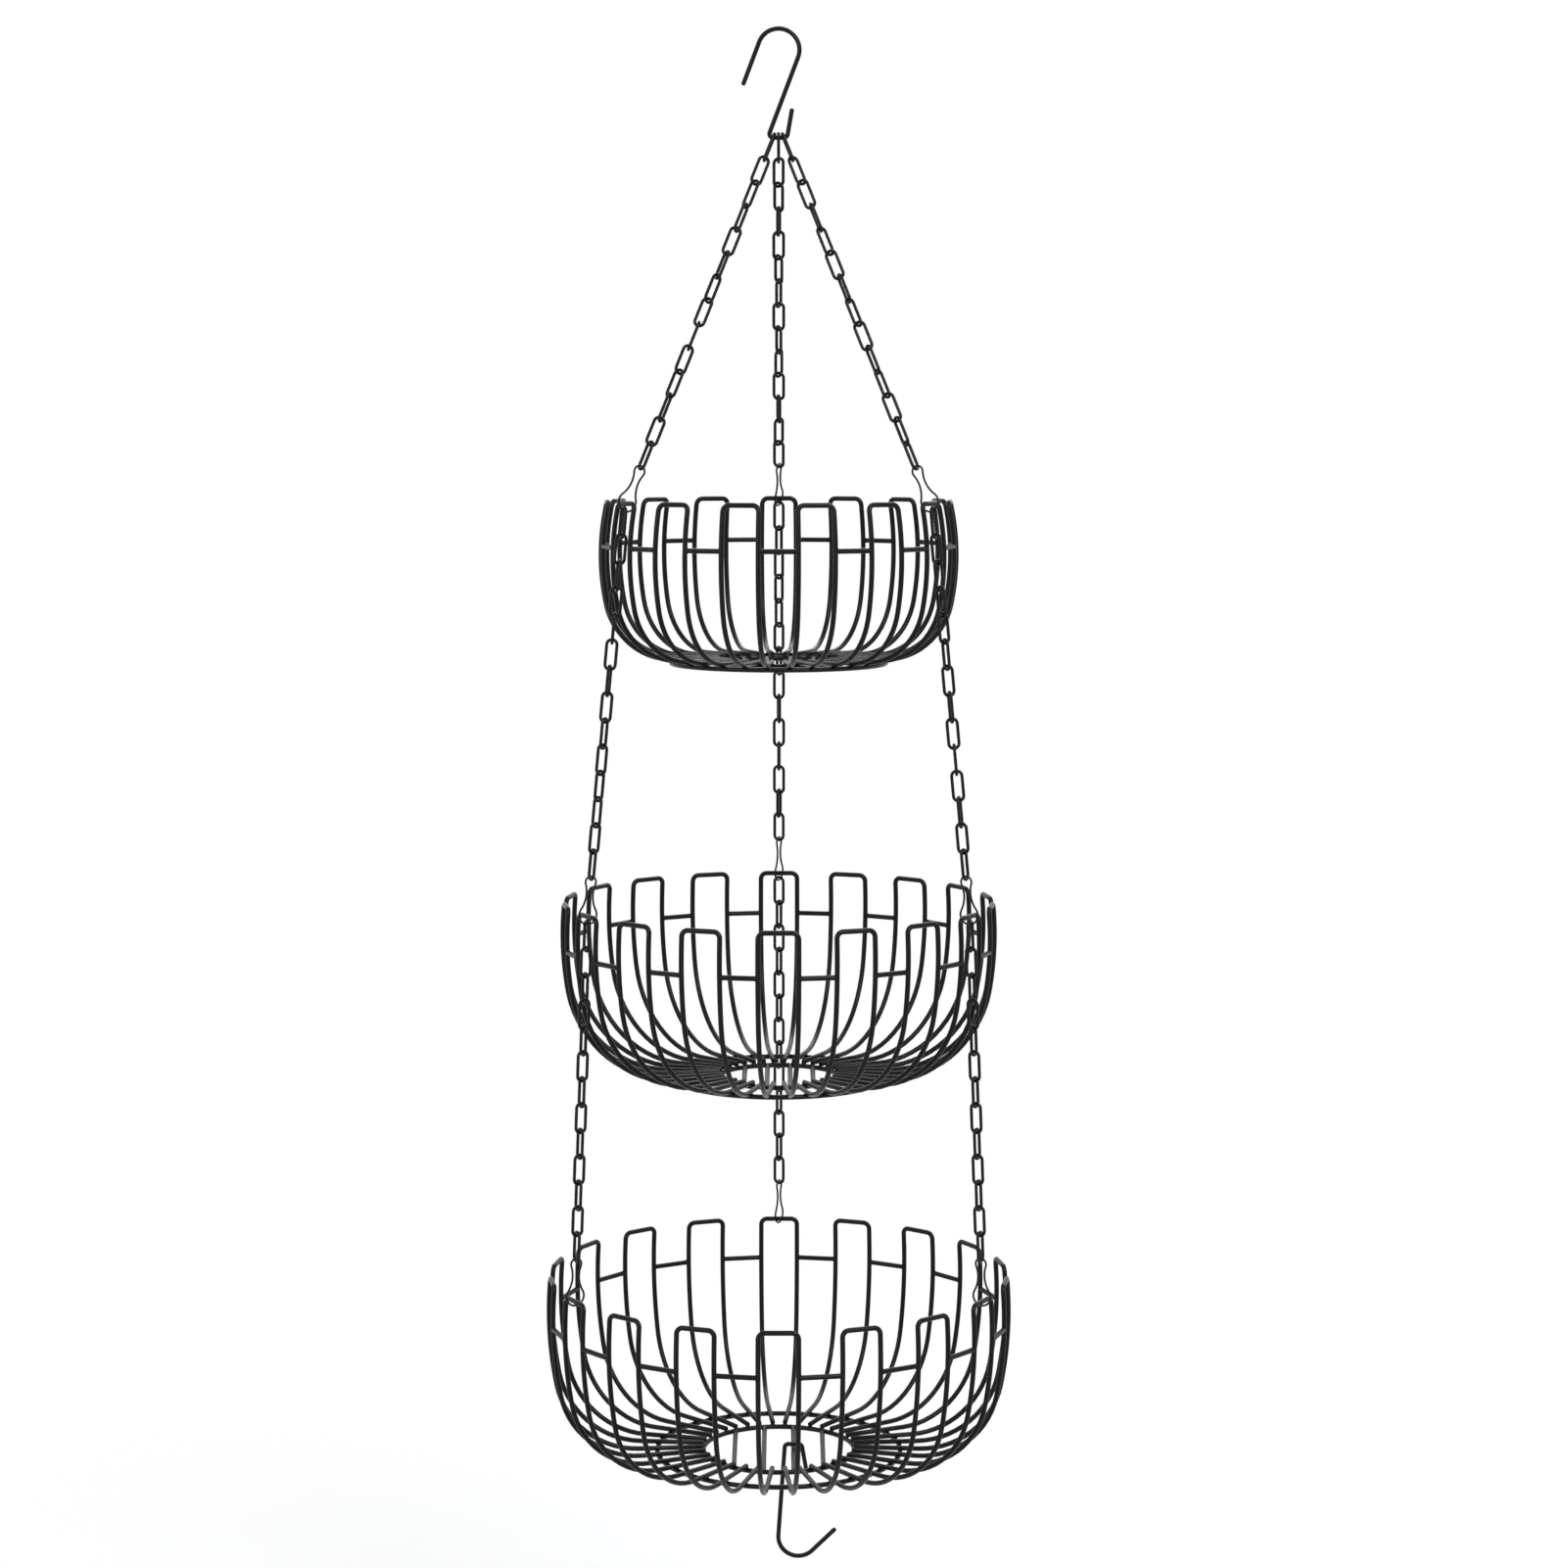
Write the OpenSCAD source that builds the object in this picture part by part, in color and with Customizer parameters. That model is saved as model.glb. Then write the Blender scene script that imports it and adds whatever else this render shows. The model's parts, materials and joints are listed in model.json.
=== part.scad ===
// Three tier hanging fruit basket: round wire baskets on chains, between a ceiling hook and a fruit hook.
// Millimetres, +Z up, +Y to the back. The origin is where the ceiling hook rests on its support.

/* [Wire] */
// Diameter of the basket wire
basket_wire = 3.2; // [2.8:0.1:3.6]
// Diameter of the wire that both hooks are bent from
hook_wire = 2.9; // [2.7:0.1:3.3]
// Diameter of the chain link wire
link_wire = 2; // [1.8:0.1:2.1]
// Diameter of the clip wire
clip_wire = 1.3; // [1:0.1:1.6]
// Depth that welded wires sink into each other
weld = 0.3; // [0.2:0.1:0.5]

/* [Chains] */
// Inside length of a chain link
link_inside_l = 16.6; // [14:0.2:20]
// Inside width of a chain link
link_inside_w = 4.4; // [4.2:0.1:5]
// Gap between pieces that hang in each other
play = 0.3; // [0.2:0.05:0.4]
// Links in each upper chain
upper_links = 14; // [10:1:18]
// Links in each middle chain
middle_links = 14; // [10:1:18]
// Links in each lower chain
lower_links = 13; // [10:1:18]
// Turn from one link to the next in the upper chains, in degrees
upper_twist = 62; // [60:1:66]
// Turn from one link to the next in the middle and lower chains, in degrees
lower_twist = 90; // [80:1:100]

/* [Clips] */
// Length of a clip between its end wires
clip_l = 30; // [26:1:36]
// Radius of the clip's small upper loop
clip_top_r = 3.6; // [3.2:0.1:4]
// Radius of the clip's large lower loop
clip_foot_r = 6; // [5.4:0.1:6.6]
// Radius of the hollow curve at the clip's waist
clip_waist_r = 18; // [15:1:24]
// Turn of the back clips about their chains, in degrees
back_clip_turn = 25; // [0:1:30]

/* [Ceiling hook] */
// Radius of the big open curve
curve_r = 13; // [11:0.5:16]
// Lean of the shank and the tip from upright, in degrees
hook_lean = 21; // [17:1:24]
// Length of the straight tip
tip_l = 27; // [16:1:30]
// Radius of the bends at the hook's foot
foot_bend_r = 2.4; // [2.3:0.1:3]
// Length of the short end that closes the foot
foot_end_l = 15; // [10:1:16]
// Lean of that short end, in degrees
foot_end_lean = 10; // [6:1:14]

/* [Fruit hook] */
// Length of the straight shank
fruit_shank_l = 59; // [45:1:66]
// Lean of the shank from upright, in degrees
fruit_lean = 4; // [2:1:8]
// Turn of the open curve, in degrees
fruit_turn = 138; // [120:2:160]
// Length of the straight tip
fruit_tip_l = 20; // [12:1:26]

/* [Fingers] */
// Radius of a finger's rounded top corners
finger_corner_r = 6; // [4:0.5:7]
// Depth of the link bars below the finger tops
bar_drop = 27.5; // [20:0.5:35]
// Distance from the base ring in to the inner ring
ring_step = 30; // [24:1:38]
// Floor wires across each inner ring
floor_wires = 4; // [2:2:6]

/* [Top basket] */
// Fingers round the top basket
top_count = 15; // [12:3:15]
// Width of a top basket finger
top_finger_w = 22; // [19:0.5:24]
// Rim radius of the top basket
top_rim_r = 108.5; // [104:0.5:114]
// Flare of its wall below the rim, in degrees
top_flare = 11; // [6:1:13]
// Bend radius of its wall
top_wall_r = 150; // [140:5:170]
// Turn of its wall before the lower bend, in degrees
top_wall_turn = 23; // [20:1:26]
// Radius of its lower bend
top_bend_r = 42; // [38:1:46]
// Radius of its base ring
top_ring_r = 68; // [62:1:70]

/* [Middle basket] */
// Fingers round the middle basket
middle_count = 18; // [15:3:18]
// Width of a middle basket finger
middle_finger_w = 24.5; // [20:0.5:26]
// Rim radius of the middle basket
middle_rim_r = 137; // [132:0.5:144]
// Flare of its wall below the rim, in degrees
middle_flare = 4; // [2:1:7]
// Bend radius of its wall
middle_wall_r = 210; // [190:5:240]
// Turn of its wall before the lower bend, in degrees
middle_wall_turn = 14; // [12:1:18]
// Radius of its lower bend
middle_bend_r = 65; // [60:1:70]
// Radius of its base ring
middle_ring_r = 68; // [62:1:70]

/* [Bottom basket] */
// Fingers round the bottom basket
bottom_count = 18; // [15:3:18]
// Width of a bottom basket finger
bottom_finger_w = 24.5; // [20:0.5:27]
// Rim radius of the bottom basket
bottom_rim_r = 147.5; // [142:0.5:156]
// Flare of its wall below the rim, in degrees
bottom_flare = 4; // [2:1:7]
// Bend radius of its wall
bottom_wall_r = 250; // [225:5:280]
// Turn of its wall before the lower bend, in degrees
bottom_wall_turn = 15; // [13:1:18]
// Radius of its lower bend
bottom_bend_r = 54; // [50:1:60]
// Radius of its base ring
bottom_ring_r = 79; // [72:1:86]

/* [Hidden] */
$fn = 48;
// Extra diameter of the beads that join runs of wire
bead_rise = 0.04;

wire_black = "#1c1c1e";
chain_black = "#242426";
clip_grey = "#6a6c70";

// Directions of the three chains round each basket, in degrees from +X
back = 90;
left = 210;
right = 330;

// A basket as one list: fingers, finger width, rim radius, flare, wall radius, wall turn, bend radius, ring radius
top_basket = [top_count, top_finger_w, top_rim_r, top_flare, top_wall_r, top_wall_turn, top_bend_r, top_ring_r];
middle_basket = [middle_count, middle_finger_w, middle_rim_r, middle_flare, middle_wall_r, middle_wall_turn,
                 middle_bend_r, middle_ring_r];
bottom_basket = [bottom_count, bottom_finger_w, bottom_rim_r, bottom_flare, bottom_wall_r, bottom_wall_turn,
                 bottom_bend_r, bottom_ring_r];
function finger_count(b) = b[0];
function finger_w(b) = b[1];
function rim_r(b) = b[2];
function flare(b) = b[3];
function wall_r(b) = b[4];
function wall_turn(b) = b[5];
function bend_r(b) = b[6];
function ring_r(b) = b[7];
function inner_ring_r(b) = ring_r(b) - ring_step;
// The floor wires reach this far from the axis, and lie this far apart
function wire_reach(b) = inner_ring_r(b) - basket_wire / 2 + weld;
function wire_spacing(b) = 2 * wire_reach(b) / (floor_wires + 1);

// A finger's legs stand at this angle each side of its middle
function leg_angle(b) = asin(finger_w(b) / 2 / rim_r(b));
// Distance of a finger's top bar from the basket's axis
function top_bar_r(b) = rim_r(b) * cos(leg_angle(b));
// Turn of a finger's top corner, and the length that the corner takes from each side
function corner_turn(b) = acos(sin(flare(b)) * sin(leg_angle(b)));
function corner_cut(b) = finger_corner_r * tan(corner_turn(b) / 2);
function corner_roll(b) = atan2(cos(flare(b)), sin(flare(b)) * cos(leg_angle(b)));
// Angle of the wall from upright where the lower bend begins
function wall_end(b) = wall_turn(b) - flare(b);
// Where the spokes begin, and the height of the floor below the rim
function spoke_start_r(b) = rim_r(b) + corner_cut(b) * sin(flare(b))
    + wall_r(b) * (cos(wall_end(b)) - cos(flare(b))) - bend_r(b) * cos(wall_end(b));
function floor_z(b) = -corner_cut(b) * cos(flare(b)) - wall_r(b) * (sin(wall_end(b)) + sin(flare(b)))
    - bend_r(b) * (1 - sin(wall_end(b)));
function ring_z(b) = floor_z(b) - basket_wire + weld;
// Angle of the wall at the link bars, and its radius there
function bar_angle(b) = asin((bar_drop - corner_cut(b) * cos(flare(b))) / wall_r(b) - sin(flare(b)));
function bar_r(b) = rim_r(b) + corner_cut(b) * sin(flare(b)) + wall_r(b) * (cos(bar_angle(b)) - cos(flare(b)));

// The ceiling hook: centre of its curve, its flat foot and the shank between
curve_z = hook_wire / 2 - curve_r;
chain_step = link_wire + play;
over_bar = hook_wire / 2 + play + link_wire / 2;
foot_flat = 3 * link_wire + 2 * play;
foot_cut = foot_bend_r * tan((90 + hook_lean) / 2);
shank_l = (curve_r * cos(hook_lean) + foot_flat / 2 + foot_cut) / sin(hook_lean) - foot_cut;
foot_z = curve_z - curve_r * sin(hook_lean) - (shank_l + foot_cut) * cos(hook_lean);

// Clips: curves between their two loops
clip_span = clip_l - clip_top_r - clip_foot_r;
top_reach = clip_top_r + clip_waist_r;
foot_reach = clip_foot_r + clip_waist_r;
waist_z = (top_reach * top_reach - foot_reach * foot_reach + clip_span * clip_span) / 2 / clip_span;
waist_x = sqrt(top_reach * top_reach - waist_z * waist_z);
clip_top_turn = 90 + atan2(waist_z, waist_x);
clip_foot_turn = 90 + atan2(clip_span - waist_z, waist_x);

// Height of a finger's top bar above the bottom of its clip, with a chain hung between them or without
bar_on_link = clip_wire / 2 + play + link_wire + play + basket_wire / 2;
bar_on_clip = clip_wire / 2 + play + basket_wire / 2;
// Straight length of chain and clip, from the wire that it hangs on to the finger's top bar
function hang_l(wire, links, under_bar) = links * (link_inside_l - play) - wire / 2 - play - clip_wire / 2
    + clip_l - under_bar;
upper_l = hang_l(hook_wire, upper_links, bar_on_link);
middle_l = hang_l(clip_wire, middle_links, bar_on_link);
lower_l = hang_l(clip_wire, lower_links, bar_on_clip);

function at(radius, angle, z) = [radius * cos(angle), radius * sin(angle), z];
function unit(v) = v / norm(v);
function drop(length, side) = sqrt(length * length - side * side);

// Each chain hangs on one point and reaches a finger's top bar; the back chain sets each basket's height
side_lean = top_bar_r(top_basket) * cos(right) / upper_l;
side_step = chain_step + over_bar * side_lean;
function foot_point(angle) = [angle == left ? -side_step : angle == right ? side_step : 0, 0, foot_z];
top_z = foot_z - drop(upper_l, top_bar_r(top_basket));
function top_bar(angle) = at(top_bar_r(top_basket), angle, top_z);
function top_hang(angle) = top_bar(angle) + bar_on_link * unit(top_bar(angle) - foot_point(angle));
middle_z = top_hang(back).z - drop(middle_l, top_bar_r(middle_basket) - top_hang(back).y);
function middle_bar(angle) = at(top_bar_r(middle_basket), angle, middle_z);
function middle_hang(angle) = middle_bar(angle) + bar_on_link * unit(middle_bar(angle) - top_hang(angle));
bottom_z = middle_hang(back).z - drop(lower_l, top_bar_r(bottom_basket) - middle_hang(back).y);
function bottom_bar(angle) = at(top_bar_r(bottom_basket), angle, bottom_z);
function bottom_hang(angle) = bottom_bar(angle) + bar_on_clip * unit(bottom_bar(angle) - middle_hang(angle));

// The bead that joins a run of wire to the next one
module bead(wire) {
    sphere(d = wire + bead_rise);
}

// A run of wire along +Z, with what follows at its end
module straight(length, wire) {
    cylinder(d = wire, h = length);
    translate([0, 0, length]) {
        bead(wire);
        children();
    }
}

// A bend of wire that starts along +Z and turns towards +X, with what follows at its end
module bend(radius, angle, wire) {
    translate([radius, 0, 0])
        rotate([90, 0, 0])
            rotate([0, 0, 180 - angle])
                turned_wire(radius, angle, wire);
    translate([radius * (1 - cos(angle)), 0, radius * sin(angle)])
        rotate([0, angle, 0]) {
            bead(wire);
            children();
        }
}

module turned_wire(radius, angle, wire) {
    rotate_extrude(angle = angle)
        translate([radius, 0])
            circle(d = wire);
}

module ring(radius, wire) {
    rotate_extrude()
        translate([radius, 0])
            circle(d = wire);
}

// Places its children at a point with +Z along a direction
module along(point, direction) {
    translate(point)
        rotate([0, acos(direction.z), atan2(direction.y, direction.x)])
            children();
}

module link() {
    end_r = (link_inside_w + link_wire) / 2;
    side_l = link_inside_l - link_inside_w;
    for (turn = [0, 180])
        rotate([turn, 0, 0]) {
            translate([0, end_r, -side_l / 2])
                cylinder(d = link_wire, h = side_l);
            translate([0, 0, side_l / 2])
                rotate([90, 0, 90])
                    turned_wire(end_r, 180, link_wire);
        }
}

// Turn of a clip about its chain, and of the links next to it
function clip_turn(angle) = angle == back ? back_clip_turn : 0;

// A straight chain from the wire at start to the clip that holds the finger's bar
module chain(start, bar, links, wire, under_bar, first_turn, twist, last_clip_turn) {
    direction = unit(bar - start);
    first = link_inside_l / 2 - wire / 2 - play;
    last = norm(bar - start) + under_bar - clip_l + clip_wire / 2 + play - link_inside_l / 2;
    last_turn = last_clip_turn + 180 * round((first_turn + (links - 1) * twist - last_clip_turn) / 180);
    for (i = [0:links - 1]) {
        part = i / (links - 1);
        along(start, direction)
            translate([0, 0, first + part * (last - first)])
                rotate([0, 0, first_turn + part * (last_turn - first_turn)])
                    link();
    }
}

// Turn of the first link that lets the ceiling hook's foot pass straight through it
function foot_turn(direction) = let (side = atan2(direction.y, direction.x))
    atan2(-sin(side), direction.z * cos(side));

module upper_chain(angle) {
    color(chain_black)
        chain(foot_point(angle), top_bar(angle), upper_links, hook_wire, bar_on_link,
              foot_turn(unit(top_bar(angle) - foot_point(angle))), upper_twist, clip_turn(angle));
}

module middle_chain(angle) {
    color(chain_black)
        chain(top_hang(angle), middle_bar(angle), middle_links, clip_wire, bar_on_link,
              clip_turn(angle), lower_twist, clip_turn(angle));
}

module lower_chain(angle) {
    color(chain_black)
        chain(middle_hang(angle), bottom_bar(angle), lower_links, clip_wire, bar_on_clip,
              clip_turn(angle), lower_twist, clip_turn(angle));
}

// A gourd shaped wire clip, hung along a direction with the bottom of its lower loop at the point
module clip(point, direction, turn) {
    waist_turn = clip_foot_turn + clip_top_turn - 180;
    color(clip_grey)
        along(point, -direction)
            rotate([0, 0, -turn])
                translate([clip_foot_r * sin(clip_foot_turn), 0, clip_foot_r * (1 - cos(clip_foot_turn))])
                    rotate([0, 90 - clip_foot_turn, 0])
                        bend(clip_waist_r, waist_turn, clip_wire)
                            rotate([0, 0, 180])
                                bend(clip_top_r, 2 * clip_top_turn, clip_wire)
                                    rotate([0, 0, 180])
                                        bend(clip_waist_r, waist_turn, clip_wire)
                                            rotate([0, 0, 180])
                                                bend(clip_foot_r, 2 * clip_foot_turn, clip_wire);
}

// A finger's side: its corner, wall, lower bend and floor spoke
module leg(b) {
    translate([top_bar_r(b), finger_w(b) / 2 - corner_cut(b), 0])
        rotate([-90, 0, 0])
            rotate([0, 0, corner_roll(b)]) {
                bead(basket_wire);
                bend(finger_corner_r, corner_turn(b), basket_wire);
            }
    rotate([0, 0, leg_angle(b)])
        translate([rim_r(b), 0, 0])
            rotate([0, 180 - flare(b), 0])
                translate([0, 0, corner_cut(b)])
                    bend(wall_r(b), wall_turn(b), basket_wire)
                        bend(bend_r(b), 90 - wall_end(b), basket_wire)
                            straight(spoke_start_r(b) - inner_ring_r(b), basket_wire);
}

module finger(b) {
    bar_l = finger_w(b) - 2 * corner_cut(b);
    translate([top_bar_r(b), bar_l / 2, 0])
        rotate([90, 0, 0])
            cylinder(d = basket_wire, h = bar_l);
    leg(b);
    mirror([0, 1, 0])
        leg(b);
}

// All fingers of a basket, with one in the middle of the back
module fingers(b, z) {
    color(wire_black)
        translate([0, 0, z])
            for (i = [0:finger_count(b) - 1])
                rotate([0, 0, back + i * 360 / finger_count(b)])
                    finger(b);
}

// The short bars that join each finger to the next
module link_bars(b, z) {
    half_gap = 180 / finger_count(b) - leg_angle(b);
    bar_l = 2 * (bar_r(b) * sin(half_gap) - basket_wire / 2 + weld);
    color(wire_black)
        translate([0, 0, z - bar_drop])
            for (i = [0:finger_count(b) - 1])
                rotate([0, 0, back + (i + 0.5) * 360 / finger_count(b)])
                    translate([bar_r(b) * cos(half_gap), -bar_l / 2, 0])
                        rotate([-90, 0, 0])
                            cylinder(d = basket_wire, h = bar_l);
}

module base_ring(b, z) {
    color(wire_black)
        translate([0, 0, z + ring_z(b)])
            ring(ring_r(b), basket_wire);
}

module inner_ring(b, z) {
    color(wire_black)
        translate([0, 0, z + ring_z(b)])
            ring(inner_ring_r(b), basket_wire);
}

// Straight wires across the inner ring, from front to back
module floor_wires(b, z) {
    color(wire_black)
        for (i = [0:floor_wires - 1]) {
            x = (i - (floor_wires - 1) / 2) * wire_spacing(b);
            half_l = drop(wire_reach(b), x);
            translate([x, -half_l, z + ring_z(b)])
                rotate([-90, 0, 0])
                    cylinder(d = basket_wire, h = 2 * half_l);
        }
}

// The closed foot of a hook, at the end of its shank
module hook_foot(turn) {
    bend(foot_bend_r, turn, hook_wire)
        straight(foot_flat, hook_wire)
            bend(foot_bend_r, 90 - foot_end_lean, hook_wire)
                straight(foot_end_l, hook_wire);
}

// S shaped hook with its open curve on top, which rests on the support
module ceiling_hook() {
    tip_start = [-curve_r * cos(hook_lean) - tip_l * sin(hook_lean), 0,
                 curve_z + curve_r * sin(hook_lean) - tip_l * cos(hook_lean)];
    color(wire_black)
        translate(tip_start)
            rotate([0, hook_lean, 0]) {
                bead(hook_wire);
                straight(tip_l, hook_wire)
                    bend(curve_r, 180, hook_wire)
                        straight(shank_l, hook_wire)
                            rotate([0, 0, 180])
                                hook_foot(90 + hook_lean);
            }
}

// The lower hook, hung by its foot on the floor wire to the right of the middle
module fruit_hook() {
    cut = foot_bend_r * tan((90 - fruit_lean) / 2);
    seat = (basket_wire + hook_wire) / 2 + play;
    color(wire_black)
        translate([wire_spacing(bottom_basket) / 2 - foot_flat / 2 - cut, 0,
                   bottom_z + ring_z(bottom_basket) + seat])
            rotate([0, 180 + fruit_lean, 0])
                translate([0, 0, cut]) {
                    bead(hook_wire);
                    straight(fruit_shank_l, hook_wire)
                        rotate([0, 0, 180])
                            bend(curve_r, fruit_turn, hook_wire)
                                straight(fruit_tip_l, hook_wire);
                    rotate([180, 0, 180])
                        hook_foot(90 - fruit_lean);
                }
}

module top_clip(angle) {
    clip(top_hang(angle), unit(top_bar(angle) - foot_point(angle)), clip_turn(angle));
}

module middle_clip(angle) {
    clip(middle_hang(angle), unit(middle_bar(angle) - top_hang(angle)), clip_turn(angle));
}

module bottom_clip(angle) {
    clip(bottom_hang(angle), unit(bottom_bar(angle) - middle_hang(angle)), clip_turn(angle));
}

ceiling_hook();
upper_chain(back);  // upper_chain_back
upper_chain(left);  // upper_chain_left
upper_chain(right);  // upper_chain_right
top_clip(back);  // top_clip_back
top_clip(left);  // top_clip_left
top_clip(right);  // top_clip_right
fingers(top_basket, top_z);  // top_fingers
link_bars(top_basket, top_z);  // top_link_bars
base_ring(top_basket, top_z);  // top_base_ring
inner_ring(top_basket, top_z);  // top_inner_ring
floor_wires(top_basket, top_z);  // top_floor_wires
middle_chain(back);  // middle_chain_back
middle_chain(left);  // middle_chain_left
middle_chain(right);  // middle_chain_right
middle_clip(back);  // middle_clip_back
middle_clip(left);  // middle_clip_left
middle_clip(right);  // middle_clip_right
fingers(middle_basket, middle_z);  // middle_fingers
link_bars(middle_basket, middle_z);  // middle_link_bars
base_ring(middle_basket, middle_z);  // middle_base_ring
inner_ring(middle_basket, middle_z);  // middle_inner_ring
floor_wires(middle_basket, middle_z);  // middle_floor_wires
lower_chain(back);  // lower_chain_back
lower_chain(left);  // lower_chain_left
lower_chain(right);  // lower_chain_right
bottom_clip(back);  // bottom_clip_back
bottom_clip(left);  // bottom_clip_left
bottom_clip(right);  // bottom_clip_right
fingers(bottom_basket, bottom_z);  // bottom_fingers
link_bars(bottom_basket, bottom_z);  // bottom_link_bars
base_ring(bottom_basket, bottom_z);  // bottom_base_ring
inner_ring(bottom_basket, bottom_z);  // bottom_inner_ring
floor_wires(bottom_basket, bottom_z);  // bottom_floor_wires
fruit_hook();
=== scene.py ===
"""The looks of the three tier hanging basket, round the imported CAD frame. Metres, +Z up, front at -Y."""

import json
import math

import bmesh
import bpy
import numpy as np
from mathutils import Matrix, Vector


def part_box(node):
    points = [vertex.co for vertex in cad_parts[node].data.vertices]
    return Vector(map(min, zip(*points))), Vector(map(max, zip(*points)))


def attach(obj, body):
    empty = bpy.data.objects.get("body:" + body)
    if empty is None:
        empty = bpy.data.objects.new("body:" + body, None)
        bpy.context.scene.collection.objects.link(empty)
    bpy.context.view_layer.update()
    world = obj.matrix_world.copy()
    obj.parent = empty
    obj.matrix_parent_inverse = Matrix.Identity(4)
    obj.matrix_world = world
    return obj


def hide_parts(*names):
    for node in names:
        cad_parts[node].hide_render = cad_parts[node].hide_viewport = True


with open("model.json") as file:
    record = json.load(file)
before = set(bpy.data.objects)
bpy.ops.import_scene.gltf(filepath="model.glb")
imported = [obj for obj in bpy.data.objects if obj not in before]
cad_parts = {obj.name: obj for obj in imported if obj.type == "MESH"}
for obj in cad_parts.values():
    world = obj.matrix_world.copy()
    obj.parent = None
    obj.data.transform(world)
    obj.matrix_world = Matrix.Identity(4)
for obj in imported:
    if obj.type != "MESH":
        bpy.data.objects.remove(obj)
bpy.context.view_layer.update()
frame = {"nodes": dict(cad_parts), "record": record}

scene = bpy.context.scene

X = Vector((1, 0, 0))
Y = Vector((0, 1, 0))
UP = Vector((0, 0, 1))

# The same sizes as in part.scad, in metres and degrees
WIRE = 0.0032
BEAD_RISE = 0.00004
LINK_WIRE = 0.002
LINK_END_R = 0.0032
CAD_CORNER_R = 0.006
BASKETS = {
    "top": {
        "body": "top_tier", "count": 15, "finger_w": 0.022, "rim_r": 0.1085, "inner_ring_r": 0.038,
        "flare": 11, "wall_r": 0.150, "wall_turn": 23, "bend_r": 0.042,
    },
    "middle": {
        "body": "middle_basket", "count": 18, "finger_w": 0.0245, "rim_r": 0.137, "inner_ring_r": 0.038,
        "flare": 4, "wall_r": 0.210, "wall_turn": 14, "bend_r": 0.065,
    },
    "bottom": {
        "body": "bottom_basket", "count": 18, "finger_w": 0.0245, "rim_r": 0.1475, "inner_ring_r": 0.049,
        "flare": 4, "wall_r": 0.250, "wall_turn": 15, "bend_r": 0.054,
    },
}
# Direction of the middle of each basket's first finger, which holds the back clip
FIRST_FINGER = math.pi / 2

# The photograph's fingers have tighter top corners than the solids
CORNER_R = 0.004
CORNER_STEPS = 8
WALL_STEPS = 14
WIRE_SIDES = 16
# A wire's cut end narrows over this share of its radius, to this share of its width
TIP_L = 0.15
TIP_W = 0.82

# Half sizes of the weld lumps, and how far the lumps stand back from a wire's end or top
BAR_WELD = (0.0012, WIRE * 0.56, WIRE * 0.58)
RING_WELD = (WIRE * 0.52, WIRE * 0.52, WIRE * 0.26)
FLOOR_WELD = (WIRE * 0.58, 0.0013, WIRE * 0.56)
WELD_BACK = 0.0001
FLOOR_WELD_REACH = 0.992
# Half sizes of the butt joint in a link, which is only just thicker than its wire
SEAM = (0.0011, LINK_WIRE * 0.555, LINK_WIRE * 0.555)
SEAM_RINGS = 8

# The photograph's view, with its frame and focal length in pixels, looking down by some degrees
FRAME_PX = 1601
FOCAL_PX = 3400
CAMERA_AT = (0.0034, -2.1106, -0.2477)
CAMERA_DOWN = 6.05
SENSOR_W = 36
SKY_LIGHT = 0.62
FLOOR_Z = -1.16
FLOOR_R = 14
# The floor goes over into white between these distances from the object's axis
FADE_FROM = 0.35
FADE_TO = 1.3
# Points of the frame's meshes this close are one point
MERGE = 1e-6


def make_camera():
    data = bpy.data.cameras.new("camera")
    data.sensor_width = SENSOR_W
    data.lens = SENSOR_W * FOCAL_PX / FRAME_PX
    data.clip_start = 0.05
    data.clip_end = 50
    camera = bpy.data.objects.new("camera", data)
    camera.location = CAMERA_AT
    camera.rotation_euler = (math.radians(90 - CAMERA_DOWN), 0, 0)
    scene.collection.objects.link(camera)
    scene.camera = camera


def area_light(name, at, towards, size, watts):
    data = bpy.data.lights.new(name, "AREA")
    data.shape = "RECTANGLE"
    data.size, data.size_y = size
    data.energy = watts
    lamp = bpy.data.objects.new(name, data)
    lamp.location = at
    lamp.rotation_euler = (Vector(towards) - Vector(at)).to_track_quat("-Z", "Y").to_euler()
    scene.collection.objects.link(lamp)


def make_lights():
    area_light("key", at=(1.1, -1.9, 1.3), towards=(0, 0, -0.5), size=(1.2, 1.2), watts=40)
    area_light("fill", at=(-1.7, -1.5, 0.3), towards=(0, 0, -0.5), size=(1.2, 1.8), watts=12)
    area_light("back", at=(0.3, 1.9, 1.1), towards=(0, 0, -0.9), size=(1.8, 1.2), watts=30)


def node(tree, kind, **values):
    """A shader node, with its inputs and settings given by name."""
    made = tree.nodes.new(kind)
    for key, value in values.items():
        if key in made.inputs:
            made.inputs[key].default_value = value
        else:
            setattr(made, key, value)
    return made


def map_range(tree, source, low, high, **settings):
    """A node that maps source from one range to another, each given as two ends."""
    made = node(tree, "ShaderNodeMapRange", **settings)
    made.inputs["From Min"].default_value, made.inputs["From Max"].default_value = low
    made.inputs["To Min"].default_value, made.inputs["To Max"].default_value = high
    tree.links.new(source, made.inputs["Value"])
    return made.outputs["Result"]


def seen_directly(tree):
    """1 for what the camera sees, straight or in a reflection, and 0 for light that falls on the object."""
    path = node(tree, "ShaderNodeLightPath")
    total = path.outputs["Is Camera Ray"]
    for ray in ("Is Glossy Ray", "Is Transmission Ray"):
        add = node(tree, "ShaderNodeMath", operation="MAXIMUM")
        tree.links.new(total, add.inputs[0])
        tree.links.new(path.outputs[ray], add.inputs[1])
        total = add.outputs[0]
    return total


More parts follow.
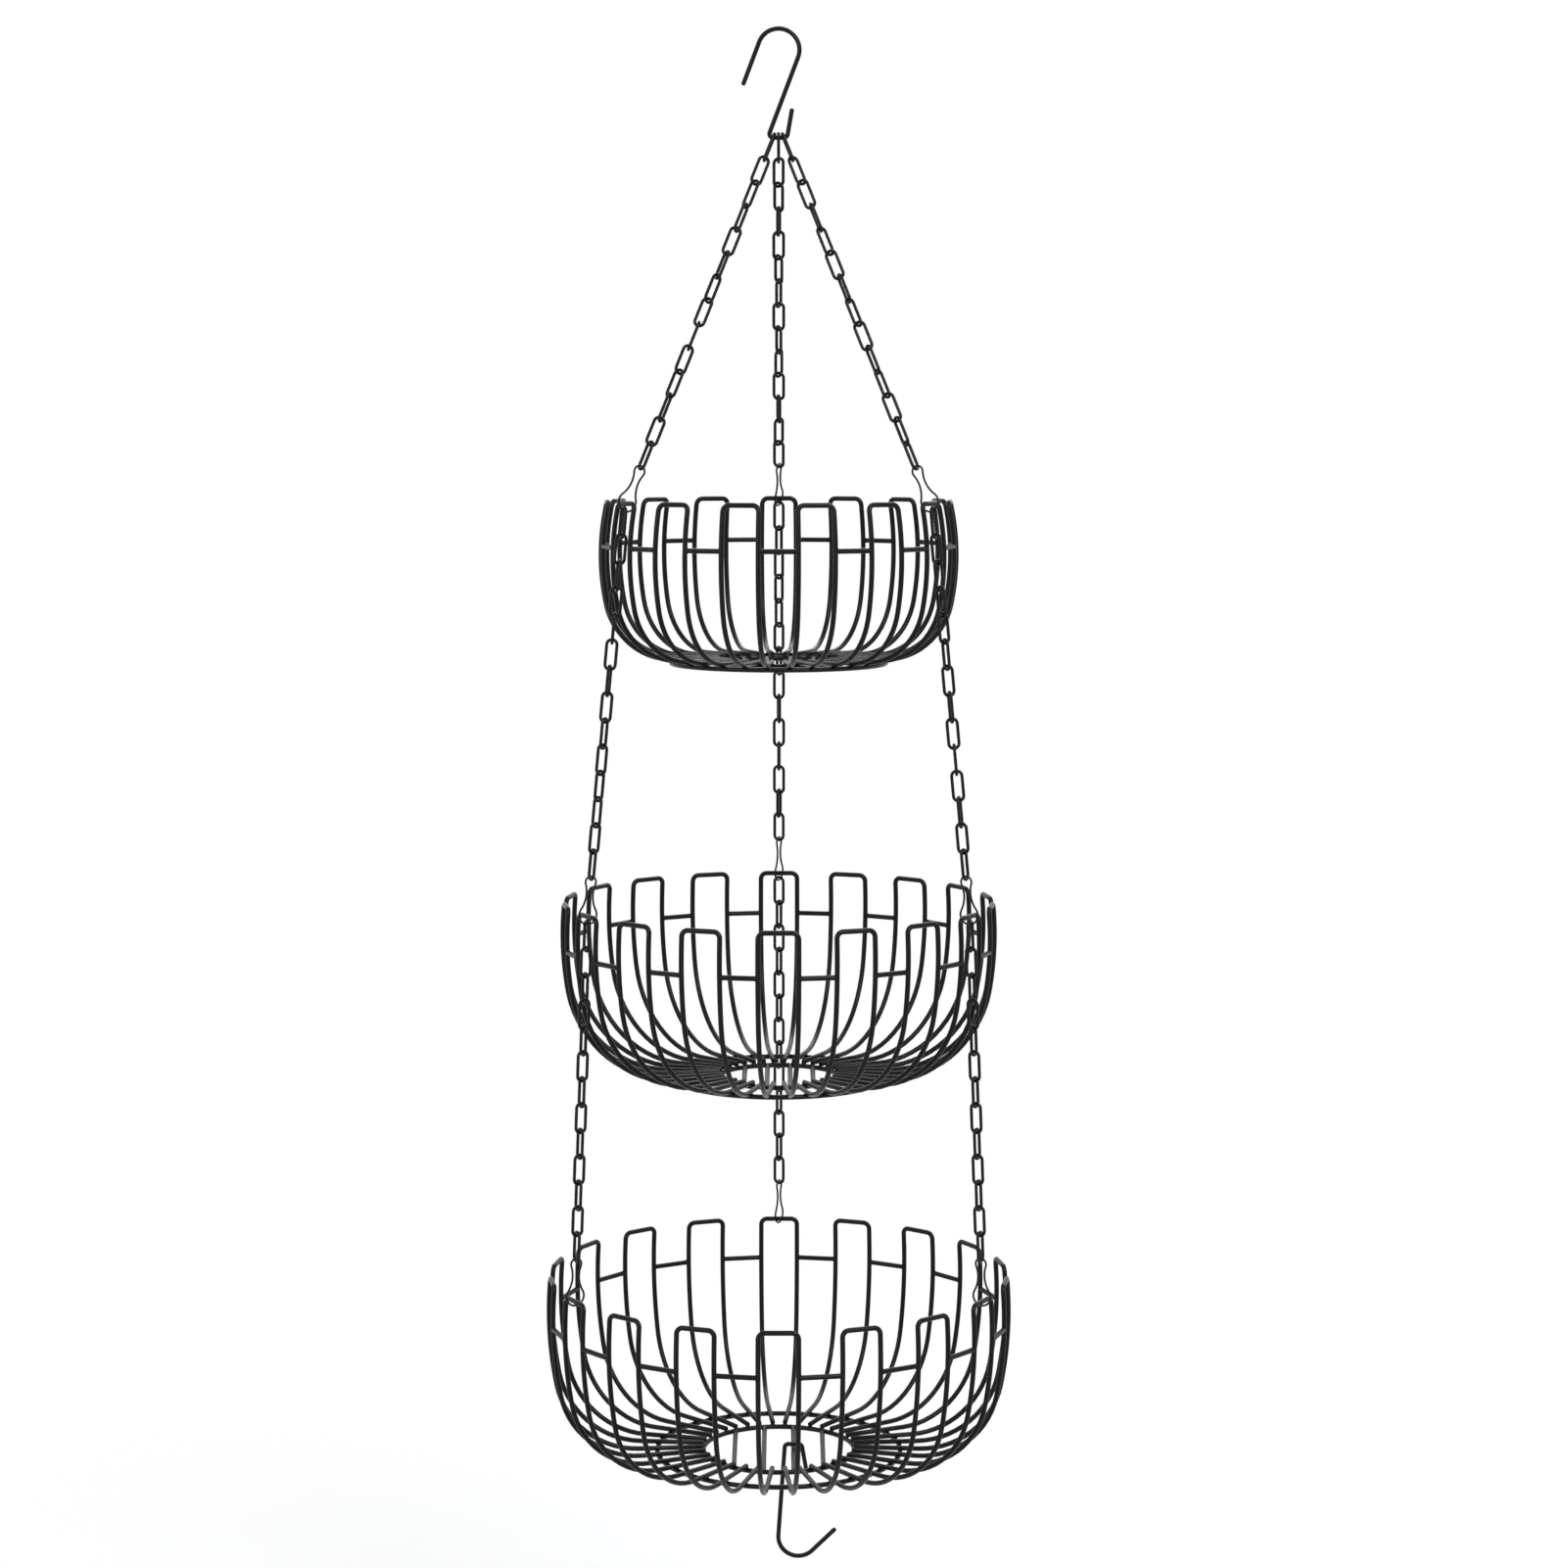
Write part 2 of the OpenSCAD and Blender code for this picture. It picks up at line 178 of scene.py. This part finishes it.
def mix_shaders(tree, factor, first, second, out_kind):
    """Mixes two shaders into the tree's output."""
    mix = node(tree, "ShaderNodeMixShader")
    out = node(tree, out_kind)
    tree.links.new(factor, mix.inputs[0])
    tree.links.new(first.outputs[0], mix.inputs[1])
    tree.links.new(second.outputs[0], mix.inputs[2])
    tree.links.new(mix.outputs[0], out.inputs[0])


def make_world():
    """White where the camera sees it, and a softer light on the object."""
    world = bpy.data.worlds.new("studio")
    scene.world = world
    world.use_nodes = True
    tree = world.node_tree
    tree.nodes.clear()
    light = node(tree, "ShaderNodeBackground", Color=(0.97, 0.985, 1, 1), Strength=SKY_LIGHT)
    white = node(tree, "ShaderNodeBackground", Color=(1, 1, 1, 1), Strength=1.0)
    mix_shaders(tree, seen_directly(tree), light, white, "ShaderNodeOutputWorld")


def make_floor():
    """A pale floor that keeps the shadow under the object and goes over into the white further out."""
    material = bpy.data.materials.new("floor")
    material.use_nodes = True
    tree = material.node_tree
    tree.nodes.clear()
    place = node(tree, "ShaderNodeNewGeometry")
    length = node(tree, "ShaderNodeVectorMath", operation="LENGTH")
    flat = node(tree, "ShaderNodeVectorMath", operation="MULTIPLY")
    flat.inputs[1].default_value = (1, 1, 0)
    tree.links.new(place.outputs["Position"], flat.inputs[0])
    tree.links.new(flat.outputs[0], length.inputs[0])
    fade = map_range(tree, length.outputs["Value"], (FADE_FROM, FADE_TO), (0, 1),
                     interpolation_type="SMOOTHSTEP")
    seen = node(tree, "ShaderNodeMath", operation="MULTIPLY")
    tree.links.new(fade, seen.inputs[0])
    tree.links.new(seen_directly(tree), seen.inputs[1])
    diffuse = node(tree, "ShaderNodeBsdfDiffuse", Color=(0.9, 0.9, 0.895, 1), Roughness=0.6)
    white = node(tree, "ShaderNodeEmission", Color=(1, 1, 1, 1), Strength=1.0)
    mix_shaders(tree, seen.outputs[0], diffuse, white, "ShaderNodeOutputMaterial")
    bpy.ops.mesh.primitive_circle_add(vertices=128, radius=FLOOR_R, fill_type="NGON",
                                      location=(0, 0, FLOOR_Z))
    floor = bpy.context.object
    floor.name = "floor"
    floor.data.materials.append(material)


def coat(name, dark, light, roughness, spread, grain, depth, metallic=0.0, specular=0.17):
    """Coated wire: two close colours in patches, a fine pebble in the coat, and gloss that varies with it."""
    material = bpy.data.materials.new(name)
    material.use_nodes = True
    tree = material.node_tree
    shader = tree.nodes["Principled BSDF"]
    shader.inputs["Metallic"].default_value = metallic
    shader.inputs["Specular IOR Level"].default_value = specular
    where = node(tree, "ShaderNodeTexCoord")
    patches = node(tree, "ShaderNodeTexNoise", Scale=90.0, Detail=3.0, Roughness=0.55)
    pebble = node(tree, "ShaderNodeTexNoise", Scale=grain, Detail=2.0, Roughness=0.5)
    specks = node(tree, "ShaderNodeTexVoronoi", Scale=grain * 0.55)
    for texture in (patches, pebble, specks):
        tree.links.new(where.outputs["Object"], texture.inputs["Vector"])
    colour = node(tree, "ShaderNodeValToRGB")
    for stop, place, shade in zip(colour.color_ramp.elements, (0.35, 0.7), (dark, light)):
        stop.position = place
        stop.color = (*shade, 1)
    tree.links.new(patches.outputs["Fac"], colour.inputs["Fac"])
    tree.links.new(colour.outputs["Color"], shader.inputs["Base Color"])
    gloss = map_range(tree, pebble.outputs["Fac"], (0.3, 0.7), (roughness - spread, roughness + spread))
    tree.links.new(gloss, shader.inputs["Roughness"])
    heights = node(tree, "ShaderNodeMath", operation="ADD")
    tree.links.new(pebble.outputs["Fac"], heights.inputs[0])
    tree.links.new(specks.outputs["Distance"], heights.inputs[1])
    bump = node(tree, "ShaderNodeBump", Strength=0.5, Distance=depth)
    tree.links.new(heights.outputs[0], bump.inputs["Height"])
    tree.links.new(bump.outputs["Normal"], shader.inputs["Normal"])
    return material


def islands(name):
    """The separate solids of a CAD node, each as an array of its points."""
    mesh = frame["nodes"][name].data
    points = np.empty(len(mesh.vertices) * 3)
    mesh.vertices.foreach_get("co", points)
    points = points.reshape(-1, 3)
    edges = np.empty(len(mesh.edges) * 2, int)
    mesh.edges.foreach_get("vertices", edges)
    same = np.unique(np.round(points / MERGE), axis=0, return_inverse=True)[1].ravel()
    ends = same[edges].reshape(-1, 2)
    label = np.arange(same.max() + 1)
    while True:
        lowest = label[ends].min(1)
        new = label.copy()
        for side in (0, 1):
            np.minimum.at(new, ends[:, side], lowest)
            np.minimum.at(new, label[ends[:, side]], lowest)
        new = new[new]
        if (new == label).all():
            break
        label = new
    label = label[same]
    return [points[label == group] for group in np.unique(label)]


def add_blob(mesh, at, axes, radii, rings=6, sides=12):
    """A rounded lump of metal, as an ellipsoid on three axes."""
    turn = Matrix([list(a) for a in axes]).transposed().to_4x4()
    scale = Matrix.Diagonal((*radii, 1))
    bmesh.ops.create_uvsphere(mesh, u_segments=sides, v_segments=rings, radius=1,
                              matrix=Matrix.Translation(at) @ turn @ scale)


def finish_mesh(mesh, name, body, slot):
    """Makes a smooth piece of the mesh, coats it and lets it ride on a body."""
    data = bpy.data.meshes.new(name)
    for face in mesh.faces:
        face.smooth = True
    mesh.to_mesh(data)
    mesh.free()
    piece = bpy.data.objects.new(name, data)
    scene.collection.objects.link(piece)
    data.materials.append(coats[slot])
    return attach(piece, body)


def half_angle(basket):
    """Angle from a finger's middle to each of its legs, seen from the basket's axis."""
    return math.asin(basket["finger_w"] / 2 / basket["rim_r"])


def finger_angles(basket):
    return [FIRST_FINGER + i * math.tau / basket["count"] for i in range(basket["count"])]


def arc(start, out, lean, turn, radius):
    """Points after start on an arc in the upright plane of out, from a downward lean, turning inwards."""
    points = []
    for i in range(1, WALL_STEPS + 1):
        end = lean - turn * i / WALL_STEPS
        points.append(start + radius * (out * (math.cos(end) - math.cos(lean))
                                        - UP * (math.sin(lean) - math.sin(end))))
    return points


def finger_path(basket, bar_z):
    """The centre line of a finger whose middle points along +X: spoke, wall, top bar and down again."""
    half = half_angle(basket)
    flare = math.radians(basket["flare"])
    wall_turn = math.radians(basket["wall_turn"])
    out = Vector((math.cos(half), math.sin(half), 0))
    down = out * math.sin(flare) - UP * math.cos(flare)
    turn = math.acos(down.y)
    inward = (down - Y * math.cos(turn)) / math.sin(turn)
    apex = out * basket["rim_r"] + UP * bar_z
    cut = math.tan(turn / 2)
    centre = apex - Y * CORNER_R * cut + inward * CORNER_R
    leg = []
    for i in range(CORNER_STEPS + 1):
        angle = turn * i / CORNER_STEPS
        leg.append(centre + CORNER_R * (Y * math.sin(angle) - inward * math.cos(angle)))
    leg.append(apex + down * CAD_CORNER_R * cut)
    leg += arc(leg[-1], out, flare, wall_turn, basket["wall_r"])
    heel_lean = flare - wall_turn
    leg += arc(leg[-1], out, heel_lean, math.pi / 2 + heel_lean, basket["bend_r"])
    leg.append(out * basket["inner_ring_r"] + UP * leg[-1].z)
    mirrored = [Vector((p.x, -p.y, p.z)) for p in leg]
    return leg[::-1] + mirrored


def sweep(mesh, path, radius):
    """Round wire along a path, with its cut ends slightly rounded off."""
    first_tip = path[0] + (path[1] - path[0]).normalized() * radius * TIP_L
    last_tip = path[-1] + (path[-2] - path[-1]).normalized() * radius * TIP_L
    line = [path[0], first_tip, *path[1:-1], last_tip, path[-1]]
    widths = [TIP_W] + [1] * len(path) + [TIP_W]
    turns = [k * math.tau / WIRE_SIDES for k in range(WIRE_SIDES)]
    rings = []
    side = (line[1] - line[0]).cross(UP).normalized()
    for i, (point, width) in enumerate(zip(line, widths)):
        tangent = (line[min(i + 1, len(line) - 1)] - line[max(i - 1, 0)]).normalized()
        side = (side - tangent * side.dot(tangent)).normalized()
        other = tangent.cross(side)
        rings.append([mesh.verts.new(point + radius * width * (side * math.cos(a) + other * math.sin(a)))
                      for a in turns])
    for low, high in zip(rings, rings[1:]):
        for k in range(WIRE_SIDES):
            after = (k + 1) % WIRE_SIDES
            mesh.faces.new((low[k], low[after], high[after], high[k]))
    mesh.faces.new(rings[0][::-1])
    mesh.faces.new(rings[-1])


def basket_fingers(name, basket):
    """The finger wires with the photograph's tighter corners, for the plainer solids."""
    mesh = bmesh.new()
    bar_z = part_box(f"{name}_fingers")[1].z - (WIRE + BEAD_RISE) / 2
    path = finger_path(basket, bar_z)
    for angle in finger_angles(basket):
        spin = Matrix.Rotation(angle, 3, "Z")
        sweep(mesh, [spin @ p for p in path], WIRE / 2)
    bmesh.ops.recalc_face_normals(mesh, faces=mesh.faces)
    piece = finish_mesh(mesh, f"{name}_finger_wires", basket["body"], "black_coat")
    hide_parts(f"{name}_fingers")


def bar_welds(mesh, name):
    """A lump at each end of each link bar."""
    for bar in islands(f"{name}_link_bars"):
        middle = bar.mean(0)
        along = np.linalg.svd(bar - middle)[2][0]
        reach = (bar - middle) @ along
        side = Vector(along).cross(UP).normalized()
        for end in (reach.min() + WELD_BACK, reach.max() - WELD_BACK):
            add_blob(mesh, Vector(middle + along * end), (Vector(along), side, UP), BAR_WELD)


def ring_welds(mesh, name, basket):
    """A lump where each leg of a finger lies on a ring."""
    half = half_angle(basket)
    for ring_name in ("base_ring", "inner_ring"):
        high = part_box(f"{name}_{ring_name}")[1]
        radius = high.x - WIRE / 2
        seam = high.z - WELD_BACK
        for middle in finger_angles(basket):
            for angle in (middle - half, middle + half):
                out = Vector((math.cos(angle), math.sin(angle), 0))
                across = Vector((-out.y, out.x, 0))
                add_blob(mesh, out * radius + UP * seam, (out, across, UP), RING_WELD)


def floor_welds(mesh, name):
    """A lump at each end of each floor wire, which all run along Y."""
    for bar in islands(f"{name}_floor_wires"):
        middle = bar.mean(0)
        half_l = np.abs(bar[:, 1] - middle[1]).max()
        for end in (-half_l, half_l):
            at = Vector((middle[0], middle[1] + end * FLOOR_WELD_REACH, middle[2]))
            add_blob(mesh, at, (X, Y, UP), FLOOR_WELD)


def basket_welds(name, basket):
    """The small lumps of coated weld where link bars, rings and floor wires meet their neighbours."""
    mesh = bmesh.new()
    bar_welds(mesh, name)
    ring_welds(mesh, name, basket)
    floor_welds(mesh, name)
    finish_mesh(mesh, f"{name}_welds", basket["body"], "black_coat")


def link_seams(name, body):
    """The pressed butt joint in one side of each chain link."""
    mesh = bmesh.new()
    for index, link in enumerate(islands(name)):
        middle = link.mean(0)
        along, across = np.linalg.svd(link - middle)[2][:2]
        side = 1 if index % 2 else -1
        at = Vector(middle + across * LINK_END_R * side)
        axes = (Vector(along), Vector(across), Vector(along).cross(Vector(across)))
        add_blob(mesh, at, axes, SEAM, rings=SEAM_RINGS)
    finish_mesh(mesh, f"{name}_seams", body, "chain_coat")


make_camera()
make_world()
make_floor()
make_lights()

coats = {
    "black_coat": coat("black_coat", dark=(0.0015, 0.0015, 0.0016), light=(0.004, 0.004, 0.0043),
                       roughness=0.3, spread=0.07, grain=2600.0, depth=0.00003),
    "chain_coat": coat("chain_coat", dark=(0.002, 0.002, 0.0021), light=(0.005, 0.005, 0.0053),
                       roughness=0.28, spread=0.08, grain=3200.0, depth=0.00003),
    "clip_metal": coat("clip_metal", dark=(0.008, 0.008, 0.009), light=(0.025, 0.026, 0.028),
                       roughness=0.24, spread=0.08, grain=3600.0, depth=0.00002, metallic=0.7, specular=0.2),
}
for part in frame["record"]["subparts"]:
    materials = frame["nodes"][part["node"]].data.materials
    materials.clear()
    materials.append(coats[part["material_slot"]])

for basket_name, sizes in BASKETS.items():
    basket_fingers(basket_name, sizes)
    basket_welds(basket_name, sizes)
for body_name, members in frame["record"]["behaviour"]["bodies"].items():
    for member in members:
        if "chain" in member:
            link_seams(member, body_name)

scene.view_settings.view_transform = "Standard"
